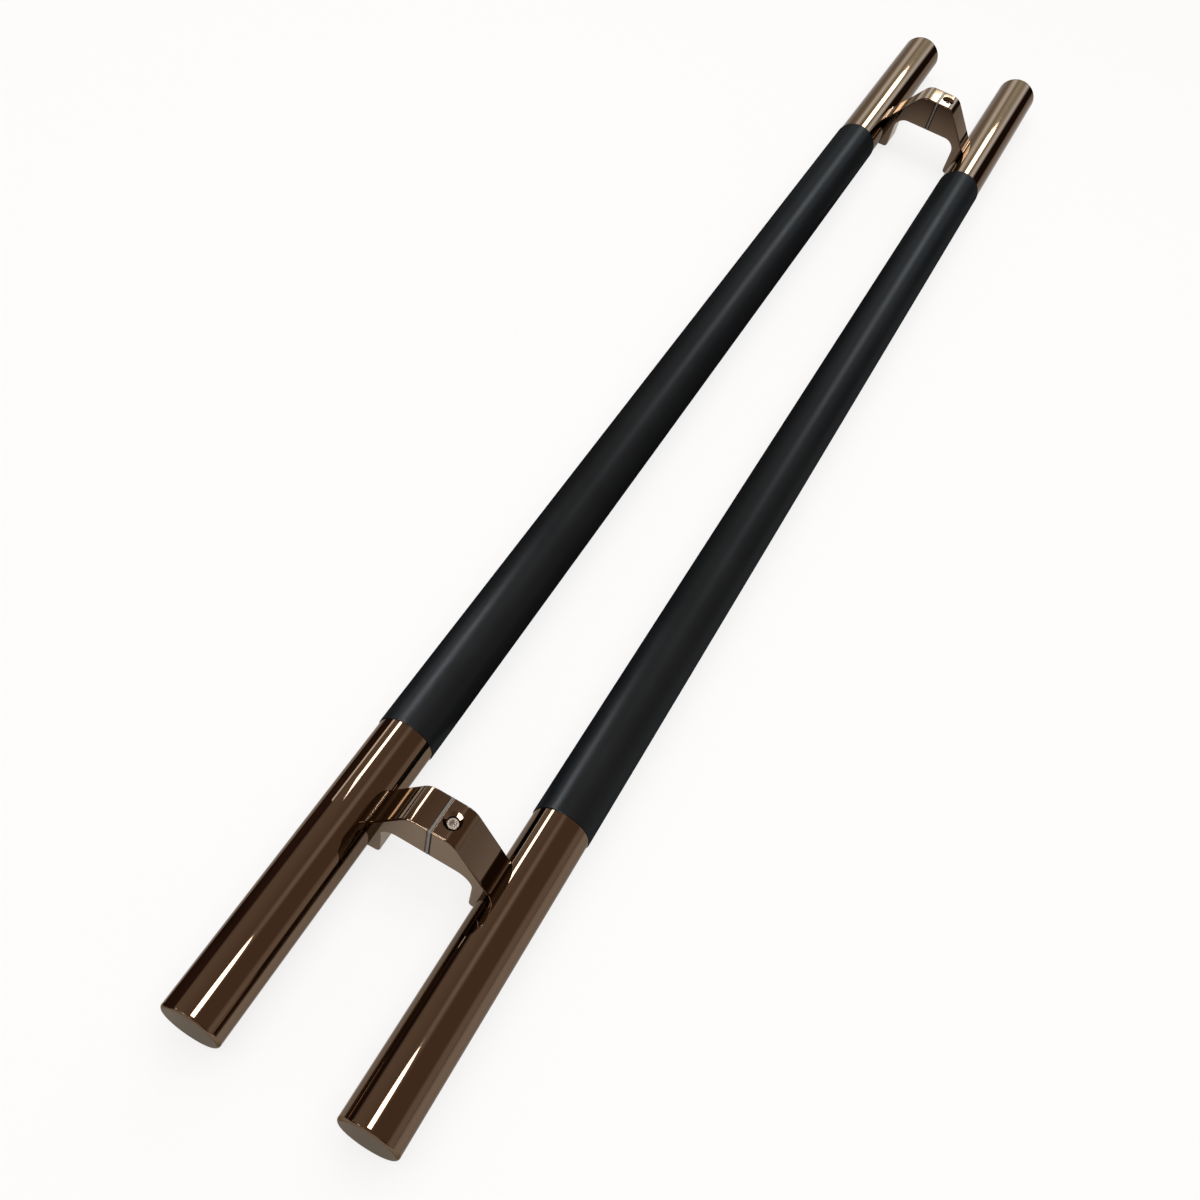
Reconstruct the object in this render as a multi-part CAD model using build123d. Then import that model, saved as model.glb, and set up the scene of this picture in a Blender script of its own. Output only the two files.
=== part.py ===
from build123d import *
import math
import os

# A back-to-back pair of glass door pulls, clamped together with no glass between them.
# It lies on its two bars: bars along Y, the right bar on +X, the arches upwards.
# The origin is midway between the bars and between their ends, on the plane that they lie on.
# Sizes in millimetres.

# Bars
bar_length = 1200.0
bar_spacing = 110.0  # between the two bars' axes
tube_diameter = 38.0
tube_wall = 1.5
cap_thickness = 2.0
cap_edge_chamfer = 1.2
cap_spigot_length = 10.0
polished_end_length = 204.0  # from a bar's end to its grip
grip_wall = 0.6
grip_edge_chamfer = 0.3

# Arches: two arms each, welded to the inner sides of the tubes
arch_inset = 152.0  # from a bar's end to the middle of the arch
arm_width = 25.0
arch_top_rise = 49.0  # from the bars' axes to the top of the arch
arch_under_rise = 19.5  # from the bars' axes to the underside of the arch
top_half_length = 14.8  # from the middle plane to the bend
bend_radius = 12.0
slope_contact_angle = 44.0  # height on the tube where the slope lands, from its inner side
leg_thickness = 5.5
leg_corner_radius = 11.0
foot_drop = 14.0  # from the bars' axes down to the foot
foot_radius = 3.0
arm_edge_chamfer = 0.6
weld_leg = 1.2
weld_hollow = 0.25  # how far the weld's face dips

# Clamp in the middle of each arch
gasket_thickness = 0.8
stud_diameter = 10.0
stud_engagement = 15.0  # length of the stud inside each arm
stud_clearance = 0.2
screw_diameter = 8.0
screw_offset = 7.6  # from the middle plane
screw_chamfer = 0.7
countersink_diameter = 12.0
screw_set_depth = 3.0  # from the arch's top down to the screw
socket_width = 4.0
socket_depth = 4.0

# Sizes that follow from those above
tube_radius = tube_diameter / 2
tube_bore_radius = tube_radius - tube_wall
grip_radius = tube_radius + grip_wall
tube_length = bar_length - 2 * cap_thickness
grip_length = bar_length - 2 * polished_end_length
arch_pitch = bar_length - 2 * arch_inset
axis_x = bar_spacing / 2
axis_z = grip_radius
top_z = axis_z + arch_top_rise
under_z = axis_z + arch_under_rise
foot_z = axis_z - foot_drop
stud_z = (top_z + under_z) / 2
stud_top_z = stud_z + stud_diameter / 2
stud_bore_radius = stud_diameter / 2 + stud_clearance
screw_top_z = top_z - screw_set_depth
arm_face_x = gasket_thickness
leg_x = axis_x - tube_radius - leg_thickness

along_bar = Plane.XZ
across_bars = Plane.YZ


def rod(plane, radius, length):
    """A round bar along the plane's normal, centred on the plane's origin."""
    return extrude(plane * Circle(radius), amount=length / 2, both=True)


def tube_point(angle):
    """A point on the right tube, at a height angle above its inner side."""
    turn = math.radians(angle)
    return Vector(axis_x - tube_radius * math.cos(turn), axis_z + tube_radius * math.sin(turn))


def nearest(shapes, point):
    """The shape that lies nearest to a point."""
    return shapes.sort_by_distance(point)[0]


def tube():
    """A polished tube, open at its ends, about the Y axis."""
    return rod(along_bar, tube_radius, tube_length) - rod(along_bar, tube_bore_radius, tube_length)


def grip():
    """The black sleeve on the middle of a tube, with its outer edges broken."""
    sleeve = rod(along_bar, grip_radius, grip_length)
    sleeve = chamfer(sleeve.edges(), grip_edge_chamfer)
    return sleeve - rod(along_bar, tube_radius, grip_length)


def end_cap():
    """A flat cap for the far end of a tube, with a spigot that fills the tube's bore."""
    disc = extrude(Plane.ZX * Circle(tube_radius), amount=cap_thickness)
    disc = chamfer(disc.edges().sort_by(Axis.Y)[-1], cap_edge_chamfer)
    return disc + extrude(Plane.XZ * Circle(tube_bore_radius), amount=cap_spigot_length)


def arm_outline():
    """Side outline of a right-hand arm: it runs on into the tube, which is cut away later."""
    bend = Vector(top_half_length, top_z)
    landing = tube_point(slope_contact_angle)
    inside = landing + (landing - bend).normalized() * tube_radius / 2
    foot_toe = Vector(leg_x, foot_z)
    leg_corner = Vector(leg_x, under_z)
    corners = [
        (arm_face_x, top_z),
        bend,
        inside,
        (axis_x, foot_z),
        foot_toe,
        leg_corner,
        (arm_face_x, under_z),
    ]
    outline = make_face(Polyline(*corners, close=True))
    for corner, radius in ((bend, bend_radius), (foot_toe, foot_radius), (leg_corner, leg_corner_radius)):
        outline = fillet(nearest(outline.vertices(), corner), radius)
    return outline


def weld_outline():
    """The hollow weld between the arm's slope and the tube."""
    bend = Vector(top_half_length, top_z)
    landing = tube_point(slope_contact_angle)
    on_slope = landing + (bend - landing).normalized() * weld_leg
    on_tube = tube_point(slope_contact_angle + math.degrees(weld_leg / tube_radius))
    chord_middle = (on_slope + on_tube) / 2
    dip = chord_middle + (landing - chord_middle).normalized() * weld_hollow
    root = landing + (landing - chord_middle)
    face_line = ThreePointArc(on_slope, dip, on_tube)
    return make_face(face_line + Polyline(on_tube, root, on_slope))


def arm():
    """A right-hand arm with its edges broken, seated on its tube, with no holes yet."""
    body = extrude(along_bar * arm_outline(), amount=arm_width / 2, both=True)
    ends = body.faces().filter_by(Axis.Y)
    clamp_face = nearest(body.faces(), (arm_face_x, 0, stud_z))
    broken = set(ends.edges()) | set(clamp_face.edges())
    body = chamfer(list(broken), arm_edge_chamfer)
    weld_length = arm_width / 2 - arm_edge_chamfer
    body += extrude(along_bar * weld_outline(), amount=weld_length, both=True)
    return body - Pos(axis_x, 0, axis_z) * rod(along_bar, tube_radius, bar_length)


def stud_bore(radius, depth):
    """A blind hole for the stud, in from the clamp face along X."""
    return Pos(arm_face_x, 0, stud_z) * extrude(across_bars * Circle(radius), amount=depth)


def left_arm():
    """The arm that the stud is screwed into."""
    return mirror(arm() - stud_bore(stud_diameter / 2, stud_engagement), about=Plane.YZ)


def right_arm():
    """The arm that the stud slides into, with a countersunk hole for the grub screw in its top."""
    sink_depth = (countersink_diameter - screw_diameter) / 2
    hole = extrude(Circle(screw_diameter / 2), amount=top_z - stud_z)
    base_centre = (Align.CENTER, Align.CENTER, Align.MIN)
    sink = Cone(screw_diameter / 2, countersink_diameter / 2, sink_depth, align=base_centre)
    body = arm() - stud_bore(stud_bore_radius, stud_engagement + stud_clearance)
    body -= Pos(screw_offset, 0, stud_z) * hole
    return body - Pos(screw_offset, 0, top_z - sink_depth) * sink


def gasket():
    """The pad on a right-hand arm's clamp face, with a hole for the stud."""
    pad = Rectangle(arm_width, top_z - under_z)
    pad = chamfer(pad.vertices(), arm_edge_chamfer) - Circle(stud_bore_radius)
    return Pos(0, 0, stud_z) * extrude(across_bars * pad, amount=gasket_thickness)


def stud():
    """The clamp stud, which reaches into both arms."""
    length = 2 * (gasket_thickness + stud_engagement)
    return Pos(0, 0, stud_z) * rod(across_bars, stud_diameter / 2, length)


def grub_screw():
    """The flat-ended screw that presses on the stud, with a hexagon socket in its top."""
    length = screw_top_z - stud_top_z
    body = extrude(Circle(screw_diameter / 2), amount=length)
    body = chamfer(body.edges().sort_by(Axis.Z)[-1], screw_chamfer)
    socket = RegularPolygon(socket_width / 2, 6, major_radius=False)
    body -= Pos(0, 0, length - socket_depth) * extrude(socket, amount=socket_depth)
    return Pos(screw_offset, 0, stud_top_z) * body


def assembly():
    """Every piece by name, in its place."""
    pieces = {}
    for side, x in (("left", -axis_x), ("right", axis_x)):
        on_axis = Pos(x, 0, axis_z)
        pieces[f"{side}_tube"] = on_axis * tube()
        pieces[f"{side}_grip"] = on_axis * grip()
        far_cap = Pos(0, tube_length / 2, 0) * end_cap()
        pieces[f"{side}_far_cap"] = on_axis * far_cap
        pieces[f"{side}_near_cap"] = on_axis * mirror(far_cap, about=Plane.XZ)
    for place, y in (("near", -arch_pitch / 2), ("far", arch_pitch / 2)):
        along = Pos(0, y, 0)
        pieces[f"{place}_left_arm"] = along * left_arm()
        pieces[f"{place}_right_arm"] = along * right_arm()
        pieces[f"{place}_right_gasket"] = along * gasket()
        pieces[f"{place}_left_gasket"] = along * mirror(gasket(), about=Plane.YZ)
        pieces[f"{place}_stud"] = along * stud()
        pieces[f"{place}_grub_screw"] = along * grub_screw()
    return pieces


os.makedirs("parts", exist_ok=True)
for name, piece in assembly().items():
    export_step(piece, f"parts/{name}.step")
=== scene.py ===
import math
import bmesh
import bpy
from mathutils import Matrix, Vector


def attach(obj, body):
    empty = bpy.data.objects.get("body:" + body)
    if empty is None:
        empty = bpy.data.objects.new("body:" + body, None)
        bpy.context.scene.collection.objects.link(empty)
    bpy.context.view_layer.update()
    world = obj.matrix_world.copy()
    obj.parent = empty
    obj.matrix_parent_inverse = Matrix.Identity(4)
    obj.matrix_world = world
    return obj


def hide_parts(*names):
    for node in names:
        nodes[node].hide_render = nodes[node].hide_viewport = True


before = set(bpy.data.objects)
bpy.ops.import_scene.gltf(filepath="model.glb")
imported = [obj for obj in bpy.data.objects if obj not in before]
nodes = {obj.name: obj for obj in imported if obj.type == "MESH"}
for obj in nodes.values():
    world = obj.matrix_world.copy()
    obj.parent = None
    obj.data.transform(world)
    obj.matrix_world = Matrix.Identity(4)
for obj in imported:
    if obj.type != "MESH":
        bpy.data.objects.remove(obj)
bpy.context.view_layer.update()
scene = bpy.context.scene

# Metres, in the CAD frame: bars along Y, arches up, the origin on the floor midway between the bars.
BAR_X = 0.055
BAR_Z = 0.0196
TUBE_RADIUS = 0.019
TUBE_BORE = 0.0175
BAR_END = 0.600
CAP_THICKNESS = 0.002
CAP_SPIGOT = 0.010
CAP_ROUNDING = 0.0019
ARCH_Y = 0.448
ARM_HALF_WIDTH = 0.0125
ARM_FACE_X = 0.0008
ARM_TOP = 0.0686
ARM_UNDER = 0.0391
ARM_BEND = (0.0148, ARM_TOP)
BEND_RADIUS = 0.012
SLOPE_ANGLE = 44.0  # degrees above the tube's inner side
WELD_LEG = 0.0012
WELD_HOLLOW = 0.00025
LEG_X = 0.0305
LEG_CORNER_RADIUS = 0.011
FOOT_Z = 0.0056
FOOT_RADIUS = 0.003
FACE_ROUNDING = 0.0006
EDGE_ROUNDING = 0.0010
SCREW_X = 0.0076
SCREW_HOLE_RADIUS = 0.004
SINK_RADIUS = 0.006
SINK_DEPTH = 0.002
HOLE_DEPTH = 0.0140

# Steps along each curve, and the angles in degrees above which an edge stays hard.
CAP_STEPS = 192
RIM_STEPS = 12
HOLE_STEPS = 96
SEAT_STEPS = 40
BEND_STEPS = 28
LEG_CORNER_STEPS = 24
FOOT_STEPS = 12
FACE_STEPS = 8
EDGE_STEPS = 8
WELD_STEPS = 8
CAP_HARD_ANGLE = 40
ARM_HARD_ANGLE = 30
LEAST_MITRE = 0.4

# Pairs of tones that a surface drifts between, and the tint of each polished metal at a grazing angle. The
# caps' tint is lower than the tubes' as painted shade, for the shaded floor that their faces mirror.
TUBE_TONES = ((0.147, 0.102, 0.070), (0.160, 0.113, 0.079))
ARM_TONES = ((0.129, 0.090, 0.062), (0.141, 0.099, 0.070))
GRIP_TONES = ((0.0058, 0.0070, 0.0082), (0.0074, 0.0087, 0.0098))
SHEEN_TONES = ((0.0126, 0.0138, 0.0148), (0.0150, 0.0162, 0.0172))
PAD_TONES = ((0.115, 0.112, 0.100), (0.165, 0.160, 0.145))
STEEL_TONES = ((0.60, 0.58, 0.55), (0.68, 0.66, 0.63))
FLOOR_TONES = ((0.88, 0.88, 0.88), (0.90, 0.90, 0.90))
# The dark cards' tones; on the low card between the bars this dark is painted shade.
FLAG_AND_SHADE_TONES = ((0.03, 0.018, 0.014), (0.16, 0.085, 0.07))
TUBE_EDGE = (0.58, 0.56, 0.54)
ARM_EDGE = (0.95, 0.89, 0.80)
# Painted shade: the caps' grazing tint is set low for the shaded floor just in front of them.
CAP_EDGE_AND_SHADE = (0.44, 0.42, 0.385)
WHITE = (1.0, 1.0, 1.0)

# Ranges of roughness, the range that most of a noise lies in, and the depth of a fine grain.
TUBE_ROUGHNESS = (0.02, 0.05)
ARM_ROUGHNESS = (0.025, 0.06)
CAP_ROUGHNESS = (0.05, 0.09)
SHEEN_ROUGHNESS = (0.33, 0.39)
PAD_ROUGHNESS = (0.34, 0.46)
STEEL_ROUGHNESS = (0.22, 0.28)
NOISE_RANGE = (0.3, 0.7)
GRAIN_DEPTH = 0.00005

# Places of the colour sockets on a Mix node.
MIX_LOW, MIX_HIGH, MIX_RESULT = 6, 7, 2


def rgba(colour):
    return (*colour, 1.0)


class Graph:
    """A short way to write a node tree."""

    def __init__(self, tree):
        self.tree = tree
        tree.nodes.clear()

    def node(self, kind, **settings):
        made = self.tree.nodes.new(kind)
        for name, value in settings.items():
            setattr(made, name, value)
        return made

    def put(self, node, socket, value):
        """Links or sets one input."""
        target = node.inputs[socket]
        if isinstance(value, bpy.types.NodeSocket):
            self.tree.links.new(value, target)
        else:
            target.default_value = value

    def call(self, kind, *values, **settings):
        """The first output of a new node, with its inputs given in order."""
        made = self.node(kind, **settings)
        for place, value in enumerate(values):
            self.put(made, place, value)
        return made.outputs[0]

    def show(self, shader, kind="ShaderNodeOutputMaterial"):
        self.put(self.node(kind), "Surface", shader)

    def coords(self, kind="Object"):
        return self.node("ShaderNodeTexCoord").outputs[kind]

    def split(self, vector):
        made = self.node("ShaderNodeSeparateXYZ")
        self.put(made, 0, vector)
        return made.outputs

    def math(self, operation, *values):
        return self.call("ShaderNodeMath", *values, operation=operation)

    def product(self, result, *others):
        for other in others:
            result = self.math("MULTIPLY", result, other)
        return result

    def ramp(self, value, low, high, start, end, kind="LINEAR"):
        """From low to high while a value goes from start to end."""
        return self.call(
            "ShaderNodeMapRange", value, start, end, low, high, clamp=True, interpolation_type=kind
        )

    def rise(self, value, start, end):
        return self.ramp(value, 0.0, 1.0, start, end)

    def fall(self, value, start, end, kind="LINEAR"):
        return self.ramp(value, 1.0, 0.0, start, end, kind)

    def tint(self, fac, low, high):
        made = self.node("ShaderNodeMix", data_type="RGBA")
        self.put(made, 0, fac)
        self.put(made, MIX_LOW, low)
        self.put(made, MIX_HIGH, high)
        return made.outputs[MIX_RESULT]

    def tones(self, fac, pair):
        return self.tint(fac, rgba(pair[0]), rgba(pair[1]))

    def bands(self, value, stops):
        """Colours that follow one another along a value, as (value, colour) pairs."""
        first, last = stops[0][0], stops[-1][0]
        made = self.node("ShaderNodeValToRGB")
        self.put(made, 0, self.rise(value, first, last))
        elements = made.color_ramp.elements
        elements.remove(elements[1])
        elements[0].position = 0.0
        elements[0].color = rgba(stops[0][1])
        for place, colour in stops[1:]:
            elements.new((place - first) / (last - first)).color = rgba(colour)
        return made.outputs[0]

    def noise(self, coords, scale, detail=2.0, roughness=0.5, stretch=(1, 1, 1)):
        mapped = self.node("ShaderNodeMapping")
        self.put(mapped, "Vector", coords)
        self.put(mapped, "Scale", stretch)
        made = self.node("ShaderNodeTexNoise")
        self.put(made, "Vector", mapped.outputs[0])
        self.put(made, "Scale", scale)
        self.put(made, "Detail", detail)
        self.put(made, "Roughness", roughness)
        return made.outputs[0]

    def bump(self, height, strength, distance):
        made = self.node("ShaderNodeBump")
        self.put(made, "Strength", strength)
        self.put(made, "Distance", distance)
        self.put(made, "Height", height)
        return made.outputs[0]


def look(name):
    """A new material and its empty node tree."""
    material = bpy.data.materials.new(name)
    material.use_nodes = True
    return material, Graph(material.node_tree)


def surface(name):
    """A new material, its node tree, a Principled shader and the object's own coordinates."""
    material, graph = look(name)
    return material, graph, graph.node("ShaderNodeBsdfPrincipled"), graph.coords()


def polished_bronze(name, tones, edge, roughness, wave, stretch=(1, 1, 1)):
    """Mirror-polished dark bronze: a faint drift of tone, uneven polish and slow waves."""
    material, graph, shader, coords = surface(name)
    drift = graph.noise(coords, scale=14.0, detail=3.0)
    polish = graph.noise(coords, scale=160.0, detail=4.0, roughness=0.6, stretch=stretch)
    waves = graph.noise(coords, scale=70.0, detail=1.0, roughness=0.4)
    graph.put(shader, "Base Color", graph.tones(drift, tones))
    graph.put(shader, "Metallic", 1.0)
    graph.put(shader, "Specular Tint", rgba(edge))
    graph.put(shader, "Roughness", graph.ramp(polish, *roughness, *NOISE_RANGE))
    graph.put(shader, "Normal", graph.bump(waves, strength=1.0, distance=wave))
    graph.show(shader.outputs[0])
    return material


def satin_black():
    """The grip: black under a thin satin sheen, with a fine even grain."""
    material, graph, shader, coords = surface("satin_black")
    cloud = graph.noise(coords, scale=22.0, detail=3.0)
    grain = graph.noise(coords, scale=2200.0)
    relief = graph.bump(grain, strength=0.10, distance=GRAIN_DEPTH)
    graph.put(shader, "Base Color", graph.tones(cloud, GRIP_TONES))
    graph.put(shader, "Roughness", 0.6)
    graph.put(shader, "Specular IOR Level", 0.0)
    graph.put(shader, "Normal", relief)
    sheen = graph.node("ShaderNodeBsdfGlossy")
    graph.put(sheen, "Color", graph.tones(cloud, SHEEN_TONES))
    graph.put(sheen, "Roughness", graph.ramp(cloud, *SHEEN_ROUGHNESS, *NOISE_RANGE))
    graph.put(sheen, "Normal", relief)
    graph.show(graph.call("ShaderNodeAddShader", shader.outputs[0], sheen.outputs[0]))
    return material


def grey_pad():
    """The clamp pads: a grey soft plastic."""
    material, graph, shader, coords = surface("grey_pad")
    cloud = graph.noise(coords, scale=180.0, detail=3.0)
    grain = graph.noise(coords, scale=1800.0)
    graph.put(shader, "Base Color", graph.tones(cloud, PAD_TONES))
    graph.put(shader, "Roughness", graph.ramp(grain, *PAD_ROUGHNESS, *NOISE_RANGE))
    graph.put(shader, "Normal", graph.bump(grain, strength=0.15, distance=GRAIN_DEPTH))
    graph.show(shader.outputs[0])
    return material


def bright_steel():
    """The screws and studs: bright steel with faint turning marks."""
    material, graph, shader, coords = surface("bright_steel")
    marks = graph.noise(coords, scale=500.0, stretch=(1, 1, 0.2))
    graph.put(shader, "Base Color", graph.tones(marks, STEEL_TONES))
    graph.put(shader, "Metallic", 1.0)
    graph.put(shader, "Roughness", graph.ramp(marks, *STEEL_ROUGHNESS, *NOISE_RANGE))
    graph.show(shader.outputs[0])
    return material


def dress(ending, material):
    """Gives a material to every CAD node whose name has this ending."""
    for name, node in nodes.items():
        if name.endswith(ending):
            node.material_slots[0].material = material


tube_metal = polished_bronze(
    "polished_tube", TUBE_TONES, TUBE_EDGE, TUBE_ROUGHNESS, wave=0.000012, stretch=(1, 0.05, 1)
)
arm_metal = polished_bronze("polished_arm", ARM_TONES, ARM_EDGE, ARM_ROUGHNESS, wave=0.000006)
# The caps' low grazing tint is painted shade, for the shaded floor their faces mirror.
cap_metal = polished_bronze("polished_cap", TUBE_TONES, CAP_EDGE_AND_SHADE, CAP_ROUGHNESS, wave=0.000004)
steel = bright_steel()
dress("tube", tube_metal)
dress("arm", arm_metal)
dress("cap", cap_metal)
dress("grip", satin_black())
dress("gasket", grey_pad())
dress("stud", steel)
dress("screw", steel)


def add_piece(name, points, faces, material):
    """A mesh object with outward faces."""
    mesh = bpy.data.meshes.new(name)
    mesh.from_pydata(points, [], faces)
    work = bmesh.new()
    work.from_mesh(mesh)
    bmesh.ops.recalc_face_normals(work, faces=work.faces)
    work.to_mesh(mesh)
    work.free()
    mesh.materials.append(material)
    made = bpy.data.objects.new(name, mesh)
    scene.collection.objects.link(made)
    return made


def smooth(piece, angle):
    """Smooth shading, with hard edges where faces turn by more than an angle."""
    piece.data.shade_smooth()
    piece.data.set_sharp_from_angle(angle=math.radians(angle))
    even = piece.modifiers.new("even_normals", "WEIGHTED_NORMAL")
    even.keep_sharp = True


def turned(profile, steps):
    """Points and faces of a profile of (radius, height) turned about Z; it starts and ends on the axis."""
    points = [(0.0, 0.0, profile[0][1])]
    for radius, height in profile[1:-1]:
        for step in range(steps):
            turn = 2 * math.pi * step / steps
            points.append((radius * math.cos(turn), radius * math.sin(turn), height))
    points.append((0.0, 0.0, profile[-1][1]))
    rings = len(profile) - 2
    faces = []
    for step in range(steps):
        after = (step + 1) % steps
        faces.append((0, 1 + after, 1 + step))
        for ring in range(rings - 1):
            low = 1 + ring * steps
            high = low + steps
            faces.append((low + step, low + after, high + after, high + step))
        last = 1 + (rings - 1) * steps
        faces.append((len(points) - 1, last + step, last + after))
    return points, faces


def skin(rings, count):
    """Faces over a row of rings with as many points each, closed at both ends."""
    last = (rings - 1) * count
    faces = [tuple(range(count)), tuple(range(last, last + count))]
    for low in range(0, last, count):
        for place in range(count):
            after = (place + 1) % count
            faces.append((low + place, low + after, low + count + after, low + count + place))
    return faces


def arc(centre, radius, start, end, steps):
    """Points on an arc, between two angles in degrees."""
    angles = [math.radians(start + (end - start) * step / steps) for step in range(steps + 1)]
    return [(centre[0] + radius * math.cos(a), centre[1] + radius * math.sin(a)) for a in angles]


def rounded(before, corner, after, radius, steps):
    """Points that round a corner between two straight lines."""
    corner = Vector(corner)
    to_before = (Vector(before) - corner).normalized()
    to_after = (Vector(after) - corner).normalized()
    half = to_before.angle(to_after) / 2
    centre = corner + (to_before + to_after).normalized() * radius / math.sin(half)
    reach = radius / math.tan(half)
    first = corner + to_before * reach - centre
    last = corner + to_after * reach - centre
    start = math.degrees(math.atan2(first.y, first.x))
    sweep = math.degrees(math.atan2(first.x * last.y - first.y * last.x, first.dot(last)))
    return arc(centre, radius, start, start + sweep, steps)


def add_cap(node, side, end):
    """An end cap with a rounded rim and its spigot."""
    rim_centre = (TUBE_RADIUS - CAP_ROUNDING, -CAP_ROUNDING)
    rim = arc(rim_centre, CAP_ROUNDING, 90, 0, RIM_STEPS)
    profile = [(0.0, 0.0), *rim, (TUBE_RADIUS, -CAP_THICKNESS), (TUBE_BORE, -CAP_THICKNESS)]
    profile += [(TUBE_BORE, -CAP_THICKNESS - CAP_SPIGOT), (0.0, -CAP_THICKNESS - CAP_SPIGOT)]
    points, faces = turned(profile, CAP_STEPS)
    placed = [(side * BAR_X + x, end * (BAR_END + z), BAR_Z + y) for x, y, z in points]
    piece = add_piece(node + "_fine", placed, faces, cap_metal)
    smooth(piece, CAP_HARD_ANGLE)
    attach(piece, "root")
    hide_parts(node)


def tube_point(angle):
    """A point on the right tube, at a height angle above its inner side."""
    turn = math.radians(angle)
    return Vector((BAR_X - TUBE_RADIUS * math.cos(turn), BAR_Z + TUBE_RADIUS * math.sin(turn)))


def weld_lines():
    """Where an arm's slope lands on the right tube, and where the weld ends on the slope."""
    landing = tube_point(SLOPE_ANGLE)
    return landing, landing + (Vector(ARM_BEND) - landing).normalized() * WELD_LEG


def arm_outline():
    """Side outline of a right-hand arm, as (x, z, share of the edge rounding)."""
    landing, above_weld = weld_lines()
    foot_angle = math.degrees(math.asin((BAR_Z - FOOT_Z) / TUBE_RADIUS))
    seat = arc((BAR_X, BAR_Z), TUBE_RADIUS, 180 - SLOPE_ANGLE, 180 + foot_angle, SEAT_STEPS)
    foot_end = seat[-1]
    face_top = (ARM_FACE_X, ARM_TOP)
    face_under = (ARM_FACE_X, ARM_UNDER)
    toe = (LEG_X, FOOT_Z)
    leg_corner = (LEG_X, ARM_UNDER)
    free = rounded(face_under, face_top, ARM_BEND, FACE_ROUNDING, FACE_STEPS)
    free += rounded(face_top, ARM_BEND, tuple(landing), BEND_RADIUS, BEND_STEPS)
    free.append(tuple(above_weld))
    rest = rounded(foot_end, toe, leg_corner, FOOT_RADIUS, FOOT_STEPS)
    rest += rounded(toe, leg_corner, face_under, LEG_CORNER_RADIUS, LEG_CORNER_STEPS)
    rest += rounded(leg_corner, face_under, face_top, FACE_ROUNDING, FACE_STEPS)
    outline = [(x, z, 1.0) for x, z in free] + [(x, z, 0.0) for x, z in seat]
    return outline + [(x, z, 1.0) for x, z in rest]


def inward(outline):
    """For each point of a closed outline, the step that moves both its lines in by one unit."""
    steps = []
    count = len(outline)
    area = sum(a[0] * b[1] - b[0] * a[1] for a, b in zip(outline, outline[1:] + outline[:1]))
    turn = 1 if area > 0 else -1
    for place in range(count):
        here = Vector(outline[place][:2])
        back = (here - Vector(outline[place - 1][:2])).normalized()
        ahead = (Vector(outline[(place + 1) % count][:2]) - here).normalized()
        first = Vector((-back.y, back.x)) * turn
        second = Vector((-ahead.y, ahead.x)) * turn
        middle = (first + second).normalized()
        steps.append(middle / max(middle.dot(first), LEAST_MITRE))
    return steps


def cut_screw_hole(piece, y):
    """Cuts the countersunk screw hole into the top of an arm."""
    slope = (SINK_RADIUS - SCREW_HOLE_RADIUS) / SINK_DEPTH
    above = 2 * SINK_DEPTH
    profile = [(0.0, above), (SINK_RADIUS + slope * above, above)]
    profile += [(SCREW_HOLE_RADIUS, -SINK_DEPTH), (SCREW_HOLE_RADIUS, -HOLE_DEPTH), (0.0, -HOLE_DEPTH)]
    points, faces = turned(profile, HOLE_STEPS)
    placed = [(SCREW_X + hx, y + hy, ARM_TOP + hz) for hx, hy, hz in points]
    cutter = add_piece("cutter", placed, faces, arm_metal)
    cut = piece.modifiers.new("screw_hole", "BOOLEAN")
    cut.object = cutter
    cut.operation = "DIFFERENCE"
    cut.solver = "EXACT"
    bpy.context.view_layer.update()
    result = piece.evaluated_get(bpy.context.evaluated_depsgraph_get())
    piece.data = bpy.data.meshes.new_from_object(result)
    piece.modifiers.clear()
    bpy.data.objects.remove(cutter)


def add_arm(node, side, y, screw_hole):
    """A bracket arm with rounded edges, and a countersunk screw hole where it has one."""
    outline = arm_outline()
    steps = inward(outline)
    rings = []
    for part in range(EDGE_STEPS + 1):
        turn = math.radians(90 - part * 90 / EDGE_STEPS)
        inset = EDGE_ROUNDING * (1 - math.cos(turn))
        rings.append((inset, ARM_HALF_WIDTH - EDGE_ROUNDING * (1 - math.sin(turn))))
    rings += [(inset, -reach) for inset, reach in reversed(rings)]
    points = []
    for inset, reach in rings:
        for (x, z, share), step in zip(outline, steps):
            points.append((side * (x + step.x * inset * share), y + reach, z + step.y * inset * share))
    piece = add_piece(node + "_fine", points, skin(len(rings), len(outline)), arm_metal)
    if screw_hole:
        cut_screw_hole(piece, y)
    smooth(piece, ARM_HARD_ANGLE)
    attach(piece, "root")
    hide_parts(node)


def add_weld(name, side, y):
    """The hollow weld between an arm's slope and its tube."""
    landing, on_slope = weld_lines()
    on_tube = tube_point(SLOPE_ANGLE + math.degrees(WELD_LEG / TUBE_RADIUS))
    middle = (on_slope + on_tube) / 2
    pull = middle + (landing - middle).normalized() * 2 * WELD_HOLLOW
    outline = []
    for step in range(WELD_STEPS + 1):
        share = step / WELD_STEPS
        outline.append(on_slope * (1 - share) ** 2 + pull * 2 * share * (1 - share) + on_tube * share ** 2)
    outline.append(landing + (landing - middle))
    ends = (EDGE_ROUNDING - ARM_HALF_WIDTH, ARM_HALF_WIDTH - EDGE_ROUNDING)
    points = [(side * at.x, y + reach, at.y) for reach in ends for at in outline]
    piece = add_piece(name, points, skin(len(ends), len(outline)), arm_metal)
    smooth(piece, ARM_HARD_ANGLE)
    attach(piece, "root")


for side_name, side in (("left", -1), ("right", 1)):
    for end_name, end in (("near", -1), ("far", 1)):
        add_cap(f"{side_name}_{end_name}_cap", side, end)
        add_arm(f"{end_name}_{side_name}_arm", side, end * ARCH_Y, side > 0)
        add_weld(f"{end_name}_{side_name}_weld", side, end * ARCH_Y)


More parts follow.
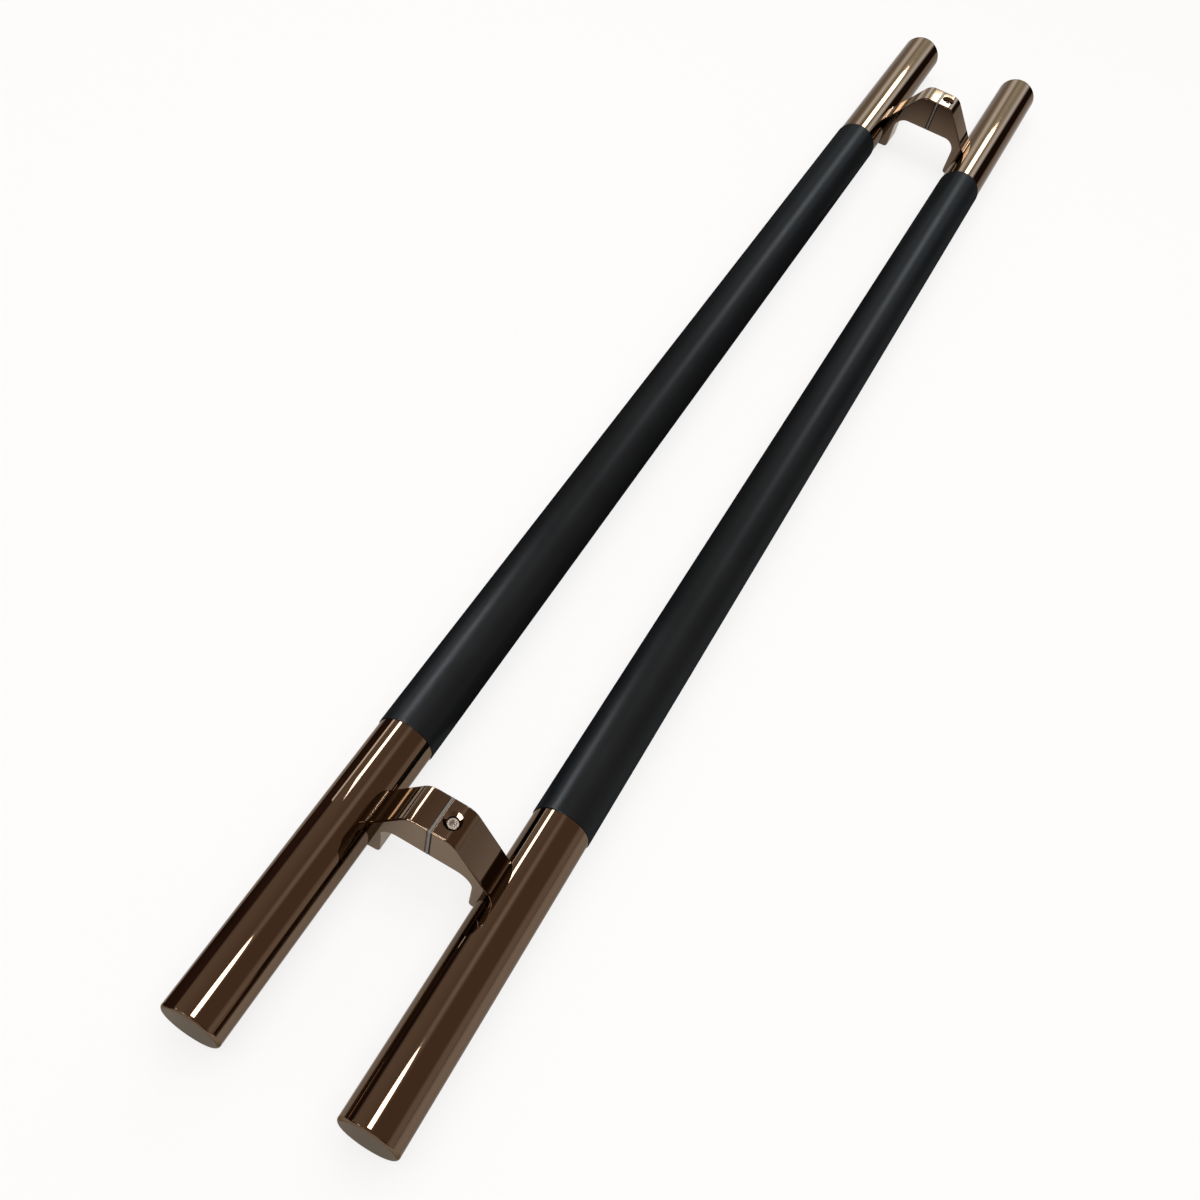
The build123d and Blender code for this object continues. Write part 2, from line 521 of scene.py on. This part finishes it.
def level(x_range, y_range, z=0.0):
    """Corners of a level rectangle."""
    (left, right), (front, back) = x_range, y_range
    return [(left, front, z), (right, front, z), (right, back, z), (left, back, z)]


def add_stage(name, corners, material):
    """A four-cornered stage object."""
    mesh = bpy.data.meshes.new(name)
    mesh.from_pydata(corners, [], [(0, 1, 2, 3)])
    mesh.materials.append(material)
    made = bpy.data.objects.new(name, mesh)
    scene.collection.objects.link(made)
    return made


# Floor: plain and pale, and it keeps the shadow. Part of it is its own white where the camera or the metal
# looks at it, and in the metal that white fades out to the right: painted shade, for the light falling off
# away from the object.
FLOOR_RANGE = (-20.0, 20.0)
SEEN_SHARE = 0.8
MIRRORED_SHARE = 0.4
FLOOR_FADE = (0.13, 0.45)
floor_look, graph = look("floor")
coords = graph.coords()
cloud = graph.noise(coords, scale=1.5)
matte = graph.call("ShaderNodeBsdfDiffuse", graph.tones(cloud, FLOOR_TONES))
path = graph.node("ShaderNodeLightPath").outputs
faded = graph.product(path["Is Glossy Ray"], graph.rise(graph.split(coords)[0], *FLOOR_FADE))
glow = graph.call("ShaderNodeEmission", rgba(WHITE), graph.math("SUBTRACT", 1.0, faded))
seen = graph.math("MAXIMUM", path["Is Camera Ray"], path["Is Transmission Ray"])
seen = graph.product(seen, SEEN_SHARE)
mirrored = graph.product(path["Is Glossy Ray"], MIRRORED_SHARE)
share = graph.math("MAXIMUM", seen, mirrored)
graph.show(graph.call("ShaderNodeMixShader", share, matte, glow))
add_stage("floor", level(FLOOR_RANGE, FLOOR_RANGE), floor_look)

# World, by direction: a dim warm ceiling, a paler low wall, a back wall in light and dark bands, and a dark
# low wall on either side, with a gap in the left one. Each pair is where one fades into the next.
CEILING_RIGHT = (0.31, 0.215, 0.155)
CEILING_LEFT = (0.50, 0.395, 0.33)
CEILING_ACROSS = (0.2, -0.75)
LOW_WALL = (0.63, 0.54, 0.47)
LOW_WALL_UP = (0.30, 0.46)
BACK_LEFT = (-0.62, -0.46)
BACK_RIGHT = (0.33, 0.40)
BACK_ALONG = (0.0, 0.2)
BACK_UP = (0.46, 0.56)
BACK_BANDS = (
    (-0.48, (0.74, 0.71, 0.67)),
    (-0.44, (0.85, 0.83, 0.78)),
    (-0.40, (1.90, 2.00, 2.00)),
    (-0.35, (2.70, 3.00, 3.30)),
    (-0.29, (2.20, 2.40, 2.50)),
    (-0.21, (0.88, 0.95, 0.82)),
    (-0.12, (1.45, 1.55, 1.40)),
    (-0.03, (1.60, 1.75, 1.60)),
    (0.07, (1.14, 1.27, 1.10)),
    (0.16, (1.40, 1.50, 1.40)),
    (0.27, (2.60, 3.00, 3.60)),
    (0.33, (2.00, 2.30, 2.60)),
)
DARK_WALL = (0.05, 0.03, 0.025)
DARK_RIGHT_START = (0.31, 0.385)
DARK_RIGHT_END = (0.74, 0.84)
DARK_RIGHT_UP = (0.33, 0.41)
DARK_LEFT_END = (-0.72, -0.60)
DARK_LEFT_UP = (0.30, 0.46)
GAP_START = (0.36, 0.41)
GAP_END = (0.46, 0.52)
world = bpy.data.worlds.new("studio")
scene.world = world
world.use_nodes = True
graph = Graph(world.node_tree)
across, along, up = graph.split(graph.coords("Generated"))
ceiling = graph.tones(graph.rise(across, *CEILING_ACROSS), (CEILING_RIGHT, CEILING_LEFT))
room = graph.tint(graph.fall(up, *LOW_WALL_UP), ceiling, rgba(LOW_WALL))
back = graph.product(
    graph.rise(across, *BACK_LEFT),
    graph.fall(across, *BACK_RIGHT),
    graph.rise(along, *BACK_ALONG),
    graph.fall(up, *BACK_UP),
)
room = graph.tint(back, room, graph.bands(across, BACK_BANDS))
dark_right = graph.product(
    graph.rise(across, *DARK_RIGHT_START),
    graph.fall(across, *DARK_RIGHT_END),
    graph.fall(up, *DARK_RIGHT_UP),
)
beside_gap = graph.math("MAXIMUM", graph.fall(along, *GAP_START), graph.rise(along, *GAP_END))
dark_left = graph.product(graph.fall(across, *DARK_LEFT_END), graph.fall(up, *DARK_LEFT_UP), beside_gap)
dark = graph.math("MAXIMUM", dark_right, dark_left)
room = graph.tint(dark, room, rgba(DARK_WALL))
graph.show(graph.call("ShaderNodeBackground", room, 1.0), "ShaderNodeOutputWorld")


def lamp(name, place, aim, size, radiance, glossy=True, diffuse=True, shape="RECTANGLE", spread=180):
    """A soft lamp of a given size and radiance that points at a place."""
    data = bpy.data.lights.new(name, "AREA")
    data.shape = shape
    data.size, data.size_y = size
    area = size[0] * size[1] * (math.pi / 4 if shape == "ELLIPSE" else 1.0)
    data.energy = radiance * area * math.pi
    data.spread = math.radians(spread)
    made = bpy.data.objects.new(name, data)
    scene.collection.objects.link(made)
    made.location = place
    made.rotation_mode = "QUATERNION"
    made.rotation_quaternion = (Vector(aim) - Vector(place)).to_track_quat("-Z", "Y")
    made.visible_camera = False
    made.visible_glossy = glossy
    made.visible_diffuse = diffuse


# Lamps: a broad fill, the lamps that the metal mirrors as white highlights, a thin one along an edge and
# three that light the countersink of the near screw.
FILL_RADIANCE = 1.9
HIGHLIGHT_RADIANCE = 16.0
EDGE_RADIANCE = 2.4
SCREW_RADIANCE = 1.0
SCREW_SPREAD = 40
SCREW_LIGHT_DISTANCE = 0.35
SCREW_LIGHT_HEIGHT = 0.07
SCREW_PLACE = Vector((SCREW_X, -ARCH_Y, ARM_TOP))
SCREW_LIGHTS = (
    ("left", (-0.778, -0.576, 0.252), 0.117),
    ("middle", (-0.490, -0.800, 0.347), 0.160),
    ("right", (-0.199, -0.897, 0.396), 0.055),
)
lamp("fill", (0.0, -0.1, 2.4), (0.0, 0.0, 0.0), (3.2, 3.2), FILL_RADIANCE, glossy=False)
lamp(
    "near_light", (-0.037, -0.472, 0.634), (-0.037, -0.472, 0.0), (0.15, 0.16),
    HIGHLIGHT_RADIANCE, diffuse=False, shape="ELLIPSE",
)
lamp(
    "left_light", (-0.2015, -0.2485, 0.213), (0.0, -0.2485, 0.213), (0.22, 0.062),
    HIGHLIGHT_RADIANCE, diffuse=False,
)
lamp(
    "back_light", (-0.04, 6.75, 4.61), (-0.04, 0.0, 4.61), (1.40, 2.27),
    HIGHLIGHT_RADIANCE, diffuse=False,
)
lamp(
    "edge_light", (-0.10, -0.358, 0.049), (0.0, -0.358, 0.049), (0.175, 0.006),
    EDGE_RADIANCE, diffuse=False,
)
for name, heading, width in SCREW_LIGHTS:
    lamp(
        "screw_light_" + name, SCREW_PLACE + Vector(heading) * SCREW_LIGHT_DISTANCE, SCREW_PLACE,
        (width, SCREW_LIGHT_HEIGHT), SCREW_RADIANCE, diffuse=False, spread=SCREW_SPREAD,
    )


def card(name, corners, material, place=(0, 0, 0)):
    """A stage object that only the metal and the grips' sheen see."""
    made = add_stage(name, corners, material)
    made.location = place
    made.visible_camera = False
    made.visible_diffuse = False
    made.visible_shadow = False


def flag(name, corners, fade):
    """A dark card, which fades out along Y between two places."""
    material, graph = look(name)
    coords = graph.coords()
    cloud = graph.noise(coords, scale=14.0, detail=3.0)
    dark = graph.call("ShaderNodeEmission", graph.tones(cloud, FLAG_AND_SHADE_TONES), 1.0)
    clear = graph.call("ShaderNodeBsdfTransparent")
    gone = graph.rise(graph.split(coords)[1], *fade)
    graph.show(graph.call("ShaderNodeMixShader", gone, dark, clear))
    card(name, corners, material)


def soft_glow(name, place, half_x, half_y, radiance):
    """A level card whose glow fades out towards its edges."""
    material, graph = look(name)
    x, y, _ = graph.split(graph.coords())
    across = graph.fall(graph.math("ABSOLUTE", x), 0.0, half_x, "SMOOTHSTEP")
    along = graph.fall(graph.math("ABSOLUTE", y), 0.0, half_y, "SMOOTHSTEP")
    light = graph.call("ShaderNodeEmission", rgba(WHITE), graph.product(across, along, radiance))
    clear = graph.call("ShaderNodeBsdfTransparent")
    graph.show(graph.call("ShaderNodeAddShader", clear, light))
    card(name, level((-half_x, half_x), (-half_y, half_y)), material, place)


# Cards: a dark one upright along the left bar in two lengths, a dark one low between the bars, and a soft
# glow above the near ends. The low one is painted shade: the shaded floor between the bars, as the metal
# and the grips' sheen mirror it.
FLAG_TOP = 0.055
FLAG_FADE = (0.05, 0.45)
FLAG_LINE = ((-0.100, -0.64), (-0.133, -0.43), (-0.133, FLAG_FADE[1]))
LOW_SHADE_CARD_X = (-0.133, 0.045)
LOW_SHADE_CARD_Y = (-0.36, 0.38)
LOW_SHADE_CARD_Z = 0.0001
LOW_SHADE_CARD_FADE = (0.30, 0.38)
for start, end in zip(FLAG_LINE, FLAG_LINE[1:]):
    flag("left_flag", [(*start, 0.0), (*end, 0.0), (*end, FLAG_TOP), (*start, FLAG_TOP)], FLAG_FADE)
# Painted shade: the low card darkens the floor between the bars where only the metal and the sheen see it.
flag("low_shade_card", level(LOW_SHADE_CARD_X, LOW_SHADE_CARD_Y, LOW_SHADE_CARD_Z), LOW_SHADE_CARD_FADE)
soft_glow("near_glow", place=(-0.015, -0.24, 0.660), half_x=0.15, half_y=0.40, radiance=0.45)

# Camera: the photograph's viewing angle.
CAMERA_PLACE = (0.128542, -0.731796, 0.710477)
CAMERA_TURN = (35.656908, -9.606164, 28.060349)  # degrees
CAMERA_SENSOR = 36.0
CAMERA_LENS = 37.959835
CAMERA_CLIP = (0.01, 100.0)
camera_data = bpy.data.cameras.new("camera")
camera = bpy.data.objects.new("camera", camera_data)
scene.collection.objects.link(camera)
camera.location = CAMERA_PLACE
camera.rotation_euler = [math.radians(turn) for turn in CAMERA_TURN]
camera_data.sensor_width = CAMERA_SENSOR
camera_data.lens = CAMERA_LENS
camera_data.clip_start, camera_data.clip_end = CAMERA_CLIP
scene.camera = camera
scene.view_settings.view_transform = "Standard"
